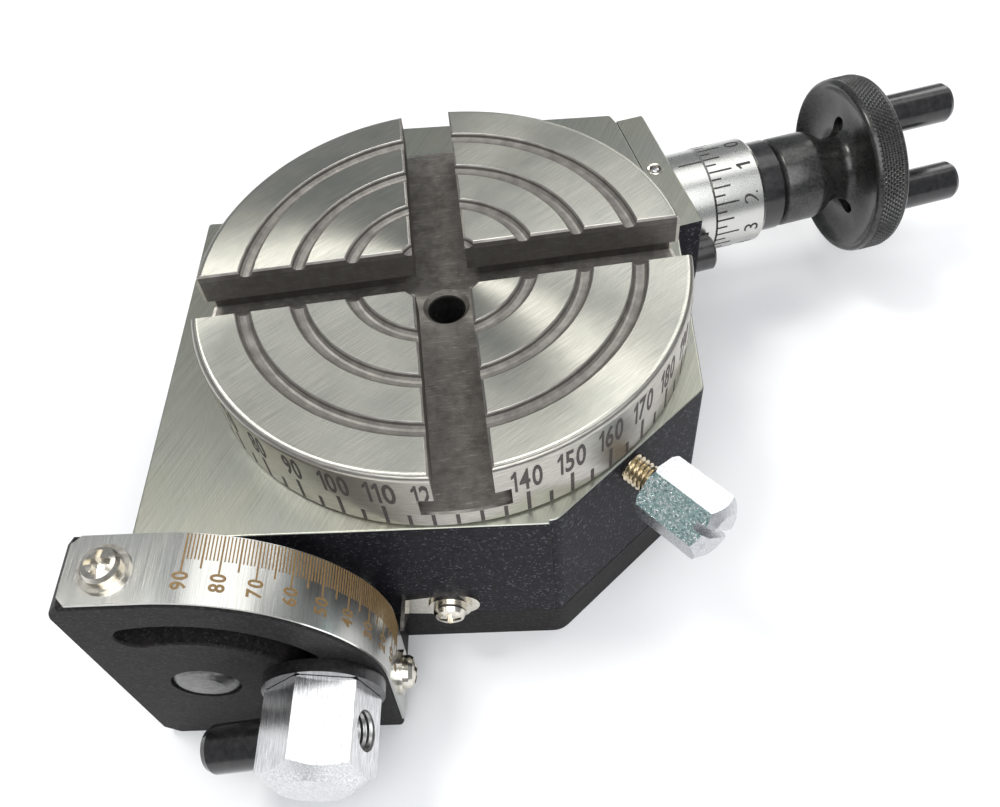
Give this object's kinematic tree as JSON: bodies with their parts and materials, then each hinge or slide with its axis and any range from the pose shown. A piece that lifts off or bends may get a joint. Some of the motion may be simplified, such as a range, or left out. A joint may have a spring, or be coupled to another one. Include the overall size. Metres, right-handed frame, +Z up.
{
  "type": "tilting rotary table",
  "caption": "Machinist's rotary table with crossed T-slots, worm drive with graduated dial and handwheel, on a base whose quadrant ear lets the table tilt and clamp",
  "frame": {"origin": "on the underside of the base, straight below the table's axis at zero tilt", "axes": "+Z up along the table's axis at zero tilt, +X towards the handwheel side, -Y towards the quadrant ear"},
  "size_m": [0.1913, 0.1687, 0.0651],
  "materials": {
    "ground_table": "surface ground with fine straight grain",
    "painted_casting": "black stoved paint with fine sparkle",
    "ear_casting": "black textured paint",
    "stainless_strip": "brushed, etched graduations",
    "nickel": "nickel plated",
    "chrome_plate": "bright plated",
    "satin_chrome": "satin plated, engraved graduations",
    "black_oxide": "satin black oxide",
    "machined_steel": "turned",
    "bronze": "bearing bronze, machined",
    "brass_bits": "yellow brass",
    "zinc_plate": "bright zinc plate"
  },
  "bodies": {
    "tilt_base": {"base_casting": "ear_casting", "degree_strip": "stainless_strip", "strip_washers": "nickel", "strip_screws": "nickel", "front_pivot_pin": "machined_steel", "rear_pivot_pin": "machined_steel", "pivot_spacers": "machined_steel"},
    "tilt_body": {"body_casting": "painted_casting", "thrust_ring": "bronze", "spindle_bush": "bronze", "worm_flange": "painted_casting", "worm_sleeve": "satin_chrome", "worm_bushes": "bronze", "worm_rear_bush": "bronze", "flange_screws": "black_oxide", "ball_oiler": "nickel", "pointer": "nickel", "pointer_washer": "nickel", "pointer_screw": "nickel", "clamp_stud": "machined_steel", "clamp_spacer": "machined_steel"},
    "table": {"table_platter": "ground_table", "worm_wheel": "bronze", "wheel_screws": "black_oxide", "table_spindle": "machined_steel", "spindle_washer": "machined_steel", "spindle_nut": "black_oxide"},
    "worm": {"worm_shaft": "machined_steel", "dial_collar": "black_oxide", "handwheel": "black_oxide", "handwheel_pins": "black_oxide", "handwheel_screw": "black_oxide", "hub_grub_screw": "black_oxide"},
    "dial": {"dial_ring": "satin_chrome"},
    "lock_slide": {"lock_pad": "brass_bits"},
    "lock_turner": {"lock_stud": "brass_bits", "lock_knob": "zinc_plate"},
    "clamp_slide": {"clamp_washer": "black_oxide"},
    "clamp_turner": {"clamp_nut": "chrome_plate", "clamp_bar": "black_oxide"}
  },
  "joints": [
    {"name": "tilt", "type": "hinge", "parent": "tilt_base", "child": "tilt_body", "pos_m": [-0.0472, 0, 0.0265], "axis": [0, -1, 0], "range_deg": [0, 90]},
    {"name": "table_spin", "type": "hinge", "parent": "tilt_body", "child": "table", "pos_m": [0, 0, 0.05], "axis": [0, 0, 1], "continuous": true},
    {"name": "worm_spin", "type": "hinge", "parent": "tilt_body", "child": "worm", "pos_m": [0.06976, 0.04999, 0.03528], "axis": [0.9686, 0.2487, 0], "continuous": true},
    {"name": "dial_set", "type": "hinge", "parent": "worm", "child": "dial", "pos_m": [0.06589, 0.04899, 0.03528], "axis": [0.9686, 0.2487, 0], "continuous": true},
    {"name": "lock_advance", "type": "slide", "parent": "tilt_body", "child": "lock_slide", "axis": [0.6901, -0.7237, 0], "range_m": [0, 0.0008]},
    {"name": "lock_turn", "type": "hinge", "parent": "lock_slide", "child": "lock_turner", "pos_m": [0.03908, -0.03873, 0.0432], "axis": [0.6901, -0.7237, 0], "range_deg": [0, 360]},
    {"name": "clamp_axial", "type": "slide", "parent": "tilt_body", "child": "clamp_slide", "axis": [0, -1, 0], "range_m": [0, 0.0009375]},
    {"name": "clamp_turn", "type": "hinge", "parent": "clamp_slide", "child": "clamp_turner", "pos_m": [-0.02446, -0.08, 0.0259], "axis": [0, -1, 0], "range_deg": [0, 270]}
  ],
  "couplings": [
    {"joint": "worm_spin", "follows": "table_spin", "ratio": 36},
    {"joint": "lock_turn", "follows": "lock_advance", "rad_per_m": 7854},
    {"joint": "clamp_turn", "follows": "clamp_axial", "rad_per_m": 5026.5}
  ]
}
